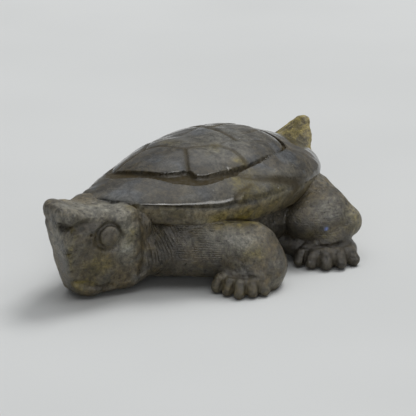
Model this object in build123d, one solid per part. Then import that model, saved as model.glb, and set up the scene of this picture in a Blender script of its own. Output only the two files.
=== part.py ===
from build123d import *
from math import asin, cos, hypot, radians, sin
import os

# Turtle figurine carved from one stone. Millimetres, Z up, head towards -Y.
# Working coordinates: ground at Z 0, the middle of the shell near X 0, Y 0.
# The turtle's own left side is +X. All pieces are moved at the end so that the
# middle of the bounding box stands on X 0, Y 0.

# Shell
shell_front = -28.0
shell_length = 58.6
shell_half_width = 20.2
crown_rise = 10.4
rim_height = 16.2
rim_lift = 2.8
band_depth = 4.1
band_lean = 1.6
dome_side_step = 0.3
skirt_drop = 1.2
channel_drop = 2.3
seam_drop = 0.75
seam_width = 0.75
lobe_drop = 0.5
lobe_width = 0.6

# Shell outline along its length, as shares of length, half width, rise and rim lift
# The front lip reaches a little past the front reference and is carved slightly askew.
station_shares = (-0.018, 0.0, 0.02, 0.068, 0.154, 0.273, 0.41, 0.546, 0.683, 0.802, 0.904, 0.973, 1.0)
width_shares = (0.06, 0.16, 0.27, 0.455, 0.68, 0.862, 0.975, 1.0, 0.96, 0.842, 0.624, 0.327, 0.05)
rise_shares = (0.04, 0.09, 0.14, 0.27, 0.471, 0.75, 0.95, 1.0, 0.942, 0.779, 0.529, 0.269, 0.04)
lift_shares = (0.8, 0.82, 0.84, 0.8, 0.571, 0.214, 0.0, 0.0, 0.071, 0.143, 0.214, 0.286, 0.286)
skew_shares = (-0.14, -0.12, -0.09, -0.045, -0.015, 0, 0, 0, 0, 0, 0, 0, 0)
# Half of the arched section: share of half width, share of rise
arch_shares = ((1.0, 0.0), (0.96, 0.204), (0.85, 0.449), (0.65, 0.71), (0.35, 0.922), (0.0, 1.0))

# Raised field of the shell in plan. Plan points are shares: of the half width to the left,
# and of the length from the front. The front is carved askew, the rest is the same on both sides.
plate_front_shares = (
    (-0.58, 0.245), (-0.5, 0.196), (-0.4, 0.167), (-0.3, 0.158), (-0.17, 0.165), (-0.02, 0.177),
    (0.09, 0.189), (0.2, 0.205), (0.28, 0.226), (0.36, 0.268),
)
plate_side_shares = (
    (0.42, 0.276), (0.51, 0.283), (0.57, 0.309), (0.616, 0.363), (0.652, 0.427),
    (0.675, 0.507), (0.665, 0.563), (0.643, 0.63), (0.6, 0.68), (0.54, 0.718),
    (0.45, 0.738), (0.32, 0.75), (0.16, 0.758), (0, 0.762),
)
plate_right_shares = ((0.675, 0.507), (0.66, 0.4), (0.635, 0.315), (0.6, 0.265))
# Outer edge of the carved channel around the field
channel_front_shares = (
    (-0.69, 0.37), (-0.66, 0.28), (-0.59, 0.2), (-0.47, 0.143), (-0.36, 0.12), (-0.24, 0.116),
    (-0.1, 0.133), (0.06, 0.161), (0.22, 0.18), (0.37, 0.196), (0.46, 0.214), (0.545, 0.238),
    (0.61, 0.264), (0.65, 0.295), (0.68, 0.34),
)
channel_side_shares = (
    (0.693, 0.395), (0.69, 0.445), (0.69, 0.5), (0.68, 0.55), (0.658, 0.6), (0.632, 0.65),
    (0.59, 0.7), (0.53, 0.74), (0.44, 0.76), (0.32, 0.77), (0.16, 0.779), (0, 0.783),
)
# Seams between the plates of the field
front_seam_shares = (
    (-0.38, 0.09), (-0.355, 0.17), (-0.357, 0.24), (-0.33, 0.3), (-0.255, 0.328), (-0.13, 0.34),
    (0, 0.347), (0.093, 0.364), (0.16, 0.4), (0.21, 0.442), (0.3, 0.472), (0.47, 0.489), (0.74, 0.482),
)
costal_seam_shares = ((0.098, 0.363), (0.21, 0.33), (0.313, 0.3), (0.394, 0.278), (0.52, 0.247))
right_side_seam_shares = ((-0.345, 0.295), (-0.46, 0.36), (-0.6, 0.43), (-0.75, 0.465))
middle_seam_shares = ((0.258, 0.462), (0.262, 0.5), (0.278, 0.537), (0.318, 0.575), (0.39, 0.62))
cross_seam_shares = (
    (-0.76, 0.55), (-0.55, 0.578), (-0.34, 0.59), (-0.11, 0.577), (0.05, 0.571), (0.29, 0.556),
)
rear_seam_shares = ((0.39, 0.617), (0.45, 0.652), (0.55, 0.655), (0.74, 0.645))
last_seam_shares = ((0.16, 0.565), (0.19, 0.62), (0.205, 0.66), (0.17, 0.71), (0.13, 0.79))
# Seams of the sloping margin
lobe_seam_shares = (
    (0.7, 0.424), (0.755, 0.437), (0.832, 0.482), (0.883, 0.527), (0.92, 0.566), (0.946, 0.61),
    (0.962, 0.662), (1.0, 0.72),
)
notch_seam_shares = ((0.872, 0.43), (0.892, 0.406), (0.907, 0.376), (0.922, 0.345), (0.95, 0.29))

# Torso under the shell
torso_height = 12.5
torso_side_inset = 3.2
torso_front_inset = 9.5
torso_rear_inset = 7.1
torso_half_height = 12.5
torso_clearance = 1.8
flank_inset = 3.6
flank_front_inset = 16.0
flank_rear_inset = 4.6
flank_height = 8.8
flank_half_height = 8.4

# Head: stations from back to front
head_stations = (-21.0, -21.6, -24.0, -29.0, -35.0, -37.5, -40.0, -41.5, -42.5, -43.0)
head_half_widths = (7.3, 8.1, 8.9, 8.6, 6.8, 5.9, 5.0, 4.4, 3.9, 3.2)
head_tops = (16.3, 17.0, 17.8, 18.6, 19.8, 20.6, 21.3, 21.5, 21.5, 20.9)
head_bottoms = (3.0, 2.2, 1.7, 1.5, 1.2, 1.8, 5.0, 9.0, 13.0, 15.0)
head_corner = 2.2

eye_height = 13.9
eye_station = -33.4
eye_side = 7.35
eye_turn = 17.0
eye_groove_radius = 2.5
eye_groove_thickness = 0.5
eye_dome_radius = 2.1
eye_dome_height = 0.55
nostril_center = (3.5, -42.0, 17.2)
nostril_radius = 0.95
cheek_pit_center = (6.1, -37.2, 15.1)
cheek_pit_radius = 0.5
crease_radius = 0.35
mouth_height = 3.7
mouth_gap = 0.5
mouth_depth = 0.5
mouth_back = -29.5
brow_center = (8.9, -38.3, 23.9)
brow_radius = 6.2

# Neck
neck_back = -8.0
neck_back_height = 10.2
neck_back_radius = 9.6
neck_front_height = 9.4
neck_front_radius = 7.0

# Front leg, left
shoulder_inner = (8.0, -14.6, 8.8)
shoulder_inner_radius = 6.5
elbow = (20.5, -6.8, 7.2)
elbow_radius = 5.8
chest_inner = (5.4, -21.7, 7.0)
chest_inner_radius = 5.1
chest_outer = (14.5, -12.5, 6.4)
chest_outer_radius = 4.7
front_column_center = (22.2, -5.9)
front_column_heights = (0.0, 2.5, 5.5, 8.5, 10.8, 12.2)
front_column_radii = (5.6, 6.3, 6.2, 5.7, 4.1, 0.0)
front_foot_center = (21.9, -7.9)
front_foot_heights = (0.0, 1.2, 2.5, 3.8, 4.9, 5.8)
front_foot_radii = (5.6, 6.5, 6.8, 6.3, 4.7, 0.0)
front_toe_angles = (-14.0, 8.0, 30.0, 53.0, 76.0)
front_toe_reach = 7.0

# Rear leg, left: positions along Y are measured forward from the rear of the shell
hip = (14.3, 11.8, 11.4)
hip_radius = 5.8
knee = (20.2, 11.6, 8.8)
knee_radius = 5.4
thigh_center = (18.8, 14.8, 8.6)
thigh_radii = (6.6, 7.4, 4.7)
knee_cap_center = (22.7, 10.1, 7.9)
knee_cap_radii = (4.5, 4.4, 4.0)
rear_foot_center = (22.2, 14.7)
rear_foot_heights = (0.0, 1.4, 3.2, 4.5, 5.4, 8.0)
rear_foot_radii = (6.7, 7.3, 6.9, 5.7, 5.2, 0.0)
rear_toe_angles = (-4.0, 18.0, 44.0, 72.0, 102.0)
rear_toe_reach = 6.7

# Toes
toe_inner_reach = 4.2
toe_inner_height = 3.0
toe_outer_height = 1.3
toe_inner_radius = 1.75
toe_outer_radius = 1.4

# Tail: a flat leaf leaning back over the rear rim
tail_overhang = 2.6
tail_tip_height = 24.0
tail_lean = 58.7
tail_stations = (0.0, 2.0, 5.0, 7.5, 9.5, 11.3)
tail_half_widths = (1.2, 2.7, 4.8, 6.6, 6.8, 5.4)
tail_half_thicknesses = (0.8, 1.25, 1.9, 2.4, 2.4, 1.8)
tail_side_shifts = (0.4, 0.1, -0.4, -0.8, -1.1, -1.3)

shell_rear = shell_front + shell_length


def plan(shares):
    return [(x * shell_half_width, shell_front + y * shell_length) for x, y in shares]


def from_rear(point):
    return (point[0], shell_rear - point[1]) + tuple(point[2:])


def shell_section(station, center, half_width, rise, rim, bottom_half_width):
    half_arch = [(x * half_width, rim + z * rise) for x, z in arch_shares]
    arch = half_arch + [(-x, z) for x, z in reversed(half_arch[:-1])]
    low = rim - band_depth
    return Face(Wire([
        Spline(*[(center + x, station, z) for x, z in arch]),
        Line((center - half_width, station, rim), (center - bottom_half_width, station, low)),
        Line((center - bottom_half_width, station, low), (center + bottom_half_width, station, low)),
        Line((center + bottom_half_width, station, low), (center + half_width, station, rim)),
    ]))


def shell_dome(drop, side_drop):
    sections = []
    for at, width, rise, lift, skew in zip(
        station_shares, width_shares, rise_shares, lift_shares, skew_shares
    ):
        station = shell_front + at * shell_length
        half_width = width * (shell_half_width - side_drop)
        lowered = rise * (crown_rise - drop)
        rim = rim_height + lift * rim_lift
        bottom = half_width * (shell_half_width - band_lean) / shell_half_width
        sections.append(
            shell_section(station, skew * shell_half_width, half_width, lowered, rim, bottom)
        )
    return loft(sections)


def plan_prism(edges):
    # starts within the band, so that only the top of the shell is carved
    base = Pos(0, 0, rim_height - band_depth / 3)
    return extrude(base * Face(Wire(edges)), shell_length, dir=(0, 0, 1))


def strip(points, width):
    left = []
    right = []
    for index, (x, y) in enumerate(points):
        before = points[max(index - 1, 0)]
        after = points[min(index + 1, len(points) - 1)]
        run = hypot(after[0] - before[0], after[1] - before[1])
        across = (-(after[1] - before[1]) / run, (after[0] - before[0]) / run)
        left.append((x + across[0] * width / 2, y + across[1] * width / 2))
        right.append((x - across[0] * width / 2, y - across[1] * width / 2))
    return plan_prism([
        Spline(*left),
        Line(left[-1], right[-1]),
        Spline(*reversed(right)),
        Line(right[0], left[0]),
    ])


def mirrored(shape):
    return mirror(shape, about=Plane.YZ)


def mirrored_points(points):
    return tuple((-x, y) for x, y in points)


def tapered_capsule(start, end, start_radius, end_radius):
    direction = Vector(*end) - Vector(*start)
    reach = direction.length
    tilt = asin((start_radius - end_radius) / reach)
    lower = (start_radius * cos(tilt), start_radius * sin(tilt))
    upper = (end_radius * cos(tilt), reach + end_radius * sin(tilt))
    low_angle = (tilt - radians(90)) / 2
    top_angle = (tilt + radians(90)) / 2
    low_middle = (start_radius * cos(low_angle), start_radius * sin(low_angle))
    top_middle = (end_radius * cos(top_angle), reach + end_radius * sin(top_angle))
    profile = Face(Wire([
        ThreePointArc((0, 0, -start_radius), (low_middle[0], 0, low_middle[1]), (lower[0], 0, lower[1])),
        Line((lower[0], 0, lower[1]), (upper[0], 0, upper[1])),
        ThreePointArc((upper[0], 0, upper[1]), (top_middle[0], 0, top_middle[1]), (0, 0, reach + end_radius)),
        Line((0, 0, reach + end_radius), (0, 0, -start_radius)),
    ]))
    body = revolve(profile, Axis.Z)
    return Plane(origin=start, z_dir=direction).location * body


def turned_foot(center, heights, radii):
    outline = [(r, 0, h) for r, h in zip(radii, heights)]
    profile = Face(Wire([
        Spline(*outline),
        Line(outline[-1], (0, 0, heights[0])),
        Line((0, 0, heights[0]), outline[0]),
    ]))
    return Pos(center[0], center[1], 0) * revolve(profile, Axis.Z)


def toes(center, angles, reach):
    result = []
    for angle in angles:
        across = sin(radians(angle))
        forward = -cos(radians(angle))
        inner_x = center[0] + toe_inner_reach * across
        inner_y = center[1] + toe_inner_reach * forward
        outer_x = center[0] + reach * across
        outer_y = center[1] + reach * forward
        inner = (inner_x, inner_y, toe_inner_height)
        outer = (outer_x, outer_y, toe_outer_height)
        result.append(tapered_capsule(inner, outer, toe_inner_radius, toe_outer_radius))
    return result


def above_ground(shape):
    slab = Pos(0, 0, -shell_length / 2) * Box(2 * shell_length, 2 * shell_length, shell_length)
    return shape - slab


def rounded_block(inset):
    sections = []
    for station, half_width, top, bottom in zip(
        head_stations, head_half_widths, head_tops, head_bottoms
    ):
        plane = Plane(origin=(0, station + inset, (top + bottom) / 2), x_dir=(1, 0, 0), z_dir=(0, -1, 0))
        outline = RectangleRounded(2 * (half_width - inset), top - bottom, head_corner - inset)
        sections.append(plane * outline)
    return loft([section.face() for section in sections])


def ellipsoid(center, radii):
    ball = Sphere(radii[0])
    return Pos(*center) * scale(ball, by=(1, radii[1] / radii[0], radii[2] / radii[0]))


# Carapace: a lower dome, the raised field, the channel around it and the seams
skirt = shell_dome(skirt_drop, 0)
crown = shell_dome(0, 0)
floor_dome = shell_dome(channel_drop, dome_side_step)
seam_dome = shell_dome(seam_drop, dome_side_step)
margin_dome = shell_dome(skirt_drop + lobe_drop, dome_side_step)

channel_edge = channel_front_shares + channel_side_shares + mirrored_points(channel_side_shares[-2::-1])
channel_prism = plan_prism([Spline(*plan(channel_edge), periodic=True)])
plate_front = plan(plate_front_shares)
plate_left = plan(plate_side_shares)
plate_rear_half = plate_side_shares[5:]
plate_right = plan(mirrored_points(plate_rear_half[-2::-1] + plate_right_shares[1:]))
plates = crown & plan_prism([
    Spline(*plate_front),
    Line(plate_front[-1], plate_left[0]),
    Spline(*plate_left, *plate_right),
    Line(plate_right[-1], plate_front[0]),
])
for shares in (
    front_seam_shares, costal_seam_shares, right_side_seam_shares, middle_seam_shares,
    cross_seam_shares, rear_seam_shares, last_seam_shares,
    mirrored_points(rear_seam_shares), mirrored_points(last_seam_shares),
):
    plates -= strip(plan(shares), seam_width) - seam_dome

skirt -= channel_prism - floor_dome
for shares in (lobe_seam_shares, notch_seam_shares):
    for side_shares in (shares, mirrored_points(shares)):
        skirt -= strip(plan(side_shares), lobe_width) - margin_dome

# Head
eye_axis = (cos(radians(eye_turn)), -sin(radians(eye_turn)), 0)
eye_plane = Plane(origin=(eye_side, eye_station, eye_height), z_dir=eye_axis)
eye_ball_radius = (eye_dome_radius ** 2 + eye_dome_height ** 2) / (2 * eye_dome_height)
eye_dome = eye_plane.location * Pos(0, 0, eye_dome_height - eye_ball_radius) * Sphere(eye_ball_radius)
eye_groove = eye_plane.location * Torus(eye_groove_radius, eye_groove_thickness)
nostril = Pos(*nostril_center) * Sphere(nostril_radius)
cheek_pit = Pos(*cheek_pit_center) * Sphere(cheek_pit_radius)
crease = tapered_capsule(nostril_center, cheek_pit_center, crease_radius, crease_radius)
brow = Pos(*brow_center) * Sphere(brow_radius)
head = rounded_block(0)
mouth_slab = Pos(0, mouth_back - shell_length / 2, mouth_height) * Box(shell_length, shell_length, mouth_gap)
head -= mouth_slab - rounded_block(mouth_depth)
head += eye_dome + mirrored(eye_dome)
for cutter in [eye_groove, nostril, cheek_pit, crease, brow]:
    head -= cutter
    head -= mirrored(cutter)

# The front of the rim rests on the back of the head
carapace = skirt + plates - head

# Torso
torso_front = shell_front + torso_front_inset
torso_rear = shell_rear - torso_rear_inset
torso_center = (0, (torso_front + torso_rear) / 2, torso_height)
torso_half_width = shell_half_width - torso_side_inset
torso = ellipsoid(torso_center, (torso_half_width, (torso_rear - torso_front) / 2, torso_half_height))
flank_front = shell_front + flank_front_inset
flank_rear = shell_rear - flank_rear_inset
flank_center = (0, (flank_front + flank_rear) / 2, flank_height)
flank_radii = (shell_half_width - flank_inset, (flank_rear - flank_front) / 2, flank_half_height)
torso += ellipsoid(flank_center, flank_radii)
torso -= Pos(0, 0, torso_clearance - shell_length / 2) * Box(2 * shell_length, 2 * shell_length, shell_length)
body = torso - carapace - head

# Neck: a cone between the torso and the back of the head
neck_front = head_stations[0]
neck_axis = Vector(0, neck_front - neck_back, neck_front_height - neck_back_height)
neck_plane = Plane(origin=(0, neck_back, neck_back_height), x_dir=(1, 0, 0), z_dir=neck_axis)
neck = loft([
    (neck_plane * Circle(neck_back_radius)).face(),
    (Plane(origin=(0, neck_front, neck_front_height), x_dir=(1, 0, 0), z_dir=neck_axis)
     * Circle(neck_front_radius)).face(),
])
neck = neck - head - carapace - body

# Legs
front_leg = tapered_capsule(shoulder_inner, elbow, shoulder_inner_radius, elbow_radius)
front_leg += tapered_capsule(chest_inner, chest_outer, chest_inner_radius, chest_outer_radius)
front_leg += turned_foot(front_column_center, front_column_heights, front_column_radii)
front_leg += turned_foot(front_foot_center, front_foot_heights, front_foot_radii)
for toe in toes(front_foot_center, front_toe_angles, front_toe_reach):
    front_leg += toe
front_leg = above_ground(front_leg)
front_legs = [leg - carapace - body - neck - head for leg in (front_leg, mirrored(front_leg))]

rear_leg = tapered_capsule(from_rear(hip), from_rear(knee), hip_radius, knee_radius)
rear_leg += ellipsoid(from_rear(thigh_center), thigh_radii)
rear_leg += ellipsoid(from_rear(knee_cap_center), knee_cap_radii)
rear_leg += turned_foot(from_rear(rear_foot_center), rear_foot_heights, rear_foot_radii)
for toe in toes(from_rear(rear_foot_center), rear_toe_angles, rear_toe_reach):
    rear_leg += toe
rear_leg = above_ground(rear_leg)
rear_legs = [leg - carapace - body for leg in (rear_leg, mirrored(rear_leg))]

# Tail
tail_axis = Vector(0, -cos(radians(tail_lean)), -sin(radians(tail_lean)))
tail_tip = Vector(0, shell_rear + tail_overhang, tail_tip_height)
tail_sections = []
for station, half_width, half_thickness, side_shift in zip(
    tail_stations, tail_half_widths, tail_half_thicknesses, tail_side_shifts
):
    center = tail_tip + tail_axis * station + Vector(side_shift, 0, 0)
    plane = Plane(origin=center, x_dir=(1, 0, 0), z_dir=tail_axis)
    tail_sections.append((plane * Ellipse(half_width, half_thickness)).face())
tail = loft(tail_sections) - carapace - body - rear_legs[0] - rear_legs[1]

pieces = {
    "carapace": carapace,
    "body": body,
    "head": head,
    "neck": neck,
    "front_leg_left": front_legs[0],
    "front_leg_right": front_legs[1],
    "rear_leg_left": rear_legs[0],
    "rear_leg_right": rear_legs[1],
    "tail": tail,
}
whole = Compound(children=[Compound(children=piece.solids()) for piece in pieces.values()])
middle = whole.bounding_box().center()
shift = Pos(-middle.X, -middle.Y, 0)

os.makedirs("parts", exist_ok=True)
for name, piece in pieces.items():
    solids = piece.solids()
    export_step(shift * solids[0], "parts/" + name + ".step")
    print(name, len(solids), [round(s.volume, 2) for s in solids], piece.is_valid)
print(whole.bounding_box())
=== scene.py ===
import math

import bpy
import numpy as np
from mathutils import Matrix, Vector


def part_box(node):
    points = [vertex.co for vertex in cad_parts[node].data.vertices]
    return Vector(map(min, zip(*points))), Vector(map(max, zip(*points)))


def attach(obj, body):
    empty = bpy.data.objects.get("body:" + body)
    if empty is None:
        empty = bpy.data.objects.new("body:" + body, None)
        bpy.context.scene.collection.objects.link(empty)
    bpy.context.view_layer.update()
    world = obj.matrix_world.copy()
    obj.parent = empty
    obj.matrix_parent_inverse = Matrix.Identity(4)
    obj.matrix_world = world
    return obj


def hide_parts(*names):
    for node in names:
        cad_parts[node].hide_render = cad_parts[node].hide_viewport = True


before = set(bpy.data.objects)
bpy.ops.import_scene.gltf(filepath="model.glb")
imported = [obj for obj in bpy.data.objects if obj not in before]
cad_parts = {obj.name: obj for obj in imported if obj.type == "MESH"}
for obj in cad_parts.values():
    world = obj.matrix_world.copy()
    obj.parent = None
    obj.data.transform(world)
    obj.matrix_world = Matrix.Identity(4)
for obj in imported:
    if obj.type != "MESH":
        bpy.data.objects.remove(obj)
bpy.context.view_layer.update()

# The turtle is sculpted in millimetres, ground at Z 0, head towards -Y, its left side +X,
# Y counted from about the middle of the shell. row_shift moves that to the place of the CAD row.
nose_y = -43.0
row_shift = 1000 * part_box("head")[0].y - nose_y
grid_step = 0.3
map_step = 0.15
block_cells = 4
chunk_points = 120000
curve_points = 500


# Plain helpers for distance fields
def vec(*values):
    return np.array(values, np.float32)


def length(points):
    return np.sqrt(np.einsum("ij,ij->i", points, points))


def mirrored(P):
    """Points of both sides, folded onto the left side."""
    return np.abs(P * vec(1, 0, 0)) + P * vec(0, 1, 1)


def smooth_curve(at, values):
    """A curve through the values that rises and falls only where they do."""
    at = np.array(at, float)
    values = np.array(values, float)
    step = np.diff(at)
    slope = np.diff(values) / step
    tangent = np.zeros(len(at))
    tangent[0] = slope[0]
    tangent[-1] = slope[-1]
    for i in range(1, len(at) - 1):
        if slope[i - 1] * slope[i] > 0:
            a = 2 * step[i] + step[i - 1]
            b = step[i] + 2 * step[i - 1]
            tangent[i] = (a + b) / (a / slope[i - 1] + b / slope[i])
    fine = np.linspace(at[0], at[-1], curve_points)
    cell = np.clip(np.searchsorted(at, fine) - 1, 0, len(at) - 2)
    t = (fine - at[cell]) / step[cell]
    curve = (
        (2 * t**3 - 3 * t**2 + 1) * values[cell]
        + (t**3 - 2 * t**2 + t) * step[cell] * tangent[cell]
        + (3 * t**2 - 2 * t**3) * values[cell + 1]
        + (t**3 - t**2) * step[cell] * tangent[cell + 1]
    )
    return lambda y: np.interp(y, fine, curve).astype(np.float32)


def ellipsoid(P, center, radii):
    q = P - vec(*center)
    near = length(q / vec(*radii))
    far = length(q / vec(*radii) ** 2) + 1e-9
    return near * (near - 1) / far


def capsule(P, start, end, start_radius, end_radius):
    start = vec(*start)
    run = vec(*end) - start
    t = np.clip(((P - start) @ run) / (run @ run), 0, 1)
    return length(P - start - t[:, None] * run) - (start_radius + (end_radius - start_radius) * t)


def chain(P, points, radii):
    """Capsules from point to point."""
    d = None
    for i in range(len(points) - 1):
        link = capsule(P, points[i], points[i + 1], radii[i], radii[i + 1])
        d = link if d is None else np.minimum(d, link)
    return d


def blend_min(a, b, soft):
    h = np.clip(0.5 + 0.5 * (b - a) / soft, 0, 1)
    return b * (1 - h) + a * h - soft * h * (1 - h)


def blend_max(a, b, soft):
    return -blend_min(-a, -b, soft)


def carved(d, cut, soft):
    """The field d with the cut taken out of it, its edge rounded."""
    return blend_max(d, -cut, soft)


def smooth_step(low, high, x):
    t = np.clip((x - low) / (high - low), 0, 1)
    return t * t * (3 - 2 * t)


dice = np.random.default_rng(7)


def make_waves(count, size):
    """Waves of random directions, about size millimetres long."""
    turn = dice.normal(size=(count, 3))
    turn /= np.linalg.norm(turn, axis=1)[:, None]
    reach = 2 * math.pi / (size * dice.uniform(0.7, 1.4, count))
    return (turn * reach[:, None]).astype(np.float32), dice.uniform(0, 6.28, count).astype(np.float32)


def lumps(P, waves):
    turn, phase = waves
    total = np.zeros(len(P), np.float32)
    for k, p in zip(turn, phase):
        total += np.sin(P @ k + p)
    return total / math.sqrt(len(phase))


broad_waves = make_waves(7, 7.0)
middle_waves = make_waves(7, 3.0)
small_waves = make_waves(8, 1.4)

# How far each set of waves makes the hand-cut stone uneven
flesh_middle = 0.07
flesh_broad = 0.1
flesh_small = 0.025
shell_middle = 0.03
leaf_middle = 0.12
leaf_small = 0.05

# Shell: stations from front to rear
shell_front = -28.0
shell_length = 58.6
shell_half_width = 20.2
crown_rise = 10.4
rim_height = 16.2
rim_lift = 2.8
band_depth = 4.1
band_lean = 0.42
band_round = 0.8
rim_round = 0.7
crown_power = 1.6
skirt_drop = 1.25
channel_drop = 2.5
channel_lip = 0.25
channel_lip_reach = 0.7
plate_fall = 0.85
plate_fall_reach = 3.0
plate_fall_power = 1.8
station_shares = (-0.018, 0, 0.02, 0.068, 0.154, 0.273, 0.41, 0.546, 0.683, 0.802, 0.904, 0.973, 1)
width_shares = (0.04, 0.16, 0.27, 0.455, 0.68, 0.862, 0.975, 1, 0.96, 0.842, 0.624, 0.327, 0.03)
rise_shares = (0.03, 0.06, 0.1, 0.2, 0.42, 0.735, 0.885, 0.885, 0.83, 0.715, 0.52, 0.269, 0.03)
lift_shares = (0.66, 0.7, 0.74, 0.72, 0.571, 0.27, 0.24, 0.43, 0.48, 0.38, 0.25, 0.286, 0.286)
floor_shares = (0.66, 0.7, 0.74, 0.72, 0.571, 0.214, 0, 0, 0.071, 0.143, 0.214, 0.286, 0.286)
skew_shares = (-0.26, -0.21, -0.15, -0.06, -0.02, 0, 0, 0, 0, 0, 0, 0, 0)
far_side_shares = (0, 0.02, 0.05, 0.11, 0.13, 0.1, 0.05, 0.01, 0, 0, 0, 0, 0)
shell_rear = shell_front + shell_length
shell_stations = [shell_front + share * shell_length for share in station_shares]
shell_tip = shell_stations[0]


def along_shell(shares, size, base=0):
    return smooth_curve(shell_stations, [base + share * size for share in shares])


shell_width_at = along_shell(width_shares, shell_half_width)
shell_rise_at = along_shell(rise_shares, crown_rise)
shell_rim_at = along_shell(lift_shares, rim_lift, rim_height)
shell_floor_at = along_shell(floor_shares, rim_lift, rim_height - band_depth)
shell_skew_at = along_shell(skew_shares, shell_half_width)
shell_far_at = along_shell(far_side_shares, 1)


def flipped(shares):
    return [(-x, y) for x, y in shares]


# Plan courses of the carving: shares of the half width to the left and of the length from the front
plate_rear_shares = (
    (0.675, 0.507), (0.665, 0.563), (0.643, 0.63), (0.6, 0.68), (0.54, 0.718), (0.45, 0.738),
    (0.32, 0.75), (0.16, 0.758),
)
plate_edge_shares = (
    (-0.58, 0.245), (-0.5, 0.196), (-0.4, 0.167), (-0.3, 0.158), (-0.17, 0.165), (-0.02, 0.177),
    (0.09, 0.189), (0.2, 0.205), (0.28, 0.226), (0.335, 0.246), (0.36, 0.27), (0.42, 0.279),
    (0.51, 0.283), (0.57, 0.309), (0.616, 0.363), (0.652, 0.427), *plate_rear_shares, (0, 0.762),
    *flipped(plate_rear_shares)[::-1], (-0.66, 0.4), (-0.635, 0.315),
)
channel_rear_shares = (
    (0.69, 0.5), (0.68, 0.55), (0.658, 0.6), (0.632, 0.65), (0.59, 0.7), (0.53, 0.74), (0.44, 0.76),
    (0.32, 0.77), (0.16, 0.779),
)
channel_edge_shares = (
    (-0.69, 0.37), (-0.66, 0.28), (-0.59, 0.2), (-0.47, 0.143), (-0.36, 0.12), (-0.24, 0.116),
    (-0.1, 0.133), (0.06, 0.161), (0.22, 0.18), (0.37, 0.196), (0.46, 0.214), (0.545, 0.238),
    (0.61, 0.264), (0.65, 0.295), (0.68, 0.34), (0.693, 0.395), (0.69, 0.445), *channel_rear_shares,
    (0, 0.783), *flipped(channel_rear_shares)[::-1],
)
front_seam_shares = (
    (-0.38, 0.09), (-0.355, 0.17), (-0.357, 0.24), (-0.33, 0.3), (-0.255, 0.328), (-0.13, 0.34),
    (0, 0.347), (0.093, 0.364), (0.16, 0.4), (0.21, 0.442), (0.3, 0.472), (0.47, 0.489), (0.69, 0.482),
)
costal_seam_shares = ((0.098, 0.363), (0.21, 0.33), (0.313, 0.3), (0.394, 0.278), (0.5, 0.252))
right_side_seam_shares = ((-0.345, 0.295), (-0.46, 0.36), (-0.6, 0.43), (-0.69, 0.45))
middle_seam_shares = ((0.258, 0.462), (0.262, 0.5), (0.278, 0.537), (0.318, 0.575), (0.39, 0.62))
cross_seam_shares = (
    (-0.69, 0.555), (-0.55, 0.578), (-0.34, 0.59), (-0.11, 0.577), (0.05, 0.571), (0.29, 0.556),
)
rear_seam_shares = ((0.39, 0.617), (0.45, 0.652), (0.55, 0.655), (0.66, 0.648))
last_seam_shares = ((0.16, 0.565), (0.19, 0.62), (0.205, 0.66), (0.17, 0.71), (0.14, 0.77))
lobe_seam_shares = (
    (0.69, 0.42), (0.755, 0.437), (0.832, 0.482), (0.883, 0.527), (0.92, 0.566), (0.946, 0.61),
    (0.962, 0.662), (0.98, 0.7),
)
notch_seam_shares = ((0.85, 0.44), (0.87, 0.408), (0.885, 0.376), (0.89, 0.35))


def course(shares, closed=False):
    """Points of a rounded line through the shares, in millimetres."""
    points = np.array([(x * shell_half_width, shell_front + y * shell_length) for x, y in shares])
    if closed:
        guides = np.vstack([points[-1:], points, points[:2]])
    else:
        guides = np.vstack([points[:1], points, points[-1:]])
    result = []
    for a, b, c, d in zip(guides, guides[1:], guides[2:], guides[3:]):
        bend = 2 * a - 5 * b + 4 * c - d
        twist = 3 * b - a - 3 * c + d
        for t in (0, 0.2, 0.4, 0.6, 0.8):
            result.append(0.5 * (2 * b + (c - a) * t + bend * t**2 + twist * t**3))
    if not closed:
        result.append(points[-1])
    return np.array(result)


map_x = np.arange(-shell_half_width - 1, shell_half_width + 1, map_step)
map_y = np.arange(shell_front - 2, shell_rear + 1, map_step)
plan_x, plan_y = np.meshgrid(map_x, map_y, indexing="ij")


def distance_to(line, closed=False):
    """Distance to the line in plan, and on which side of it: negative inside a closed line."""
    best = np.full(plan_x.shape, 9.0)
    side = np.zeros(plan_x.shape)
    crossings = np.zeros(plan_x.shape, bool)
    ends = np.roll(line, -1, axis=0) if closed else line[1:]
    for (ax, ay), (bx, by) in zip(line, ends):
        run = max((bx - ax) ** 2 + (by - ay) ** 2, 1e-9)
        t = np.clip(((plan_x - ax) * (bx - ax) + (plan_y - ay) * (by - ay)) / run, 0, 1)
        d = np.hypot(plan_x - ax - t * (bx - ax), plan_y - ay - t * (by - ay))
        cross = (bx - ax) * (plan_y - ay) - (by - ay) * (plan_x - ax)
        side = np.where(d < best, np.sign(cross), side)
        best = np.minimum(best, d)
        if closed and ay != by:
            reach = ax + (plan_y - ay) * (bx - ax) / (by - ay)
            crossings ^= ((ay > plan_y) != (by > plan_y)) & (plan_x < reach)
    if closed:
        return best * np.where(crossings, -1, 1)
    return best * np.where(side == 0, 1, side)


def soften(values, passes):
    for _ in range(passes):
        wide = np.pad(values, 1, mode="edge")
        values = (wide[:-2, 1:-1] + wide[2:, 1:-1] + wide[1:-1, :-2] + wide[1:-1, 2:] + 2 * values) / 6
    return values


# Seams of the plates: course, depth, half width, grit and painted shade
paired_seams = (
    (middle_seam_shares, 0.15, 0.3, 0.4),
    (rear_seam_shares, 0.3, 0.32, 0.6),
    (last_seam_shares, 0.25, 0.35, 0.5),
)
plate_seams = (
    (front_seam_shares, 0.18, 0.3, 0.7),
    (costal_seam_shares, 0.26, 0.3, 0.9),
    (right_side_seam_shares, 0.3, 0.32, 0.7),
    (cross_seam_shares, 0.3, 0.45, 0.9),
    *paired_seams,
    *((flipped(shares), *sizes) for shares, *sizes in paired_seams),
)
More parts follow.
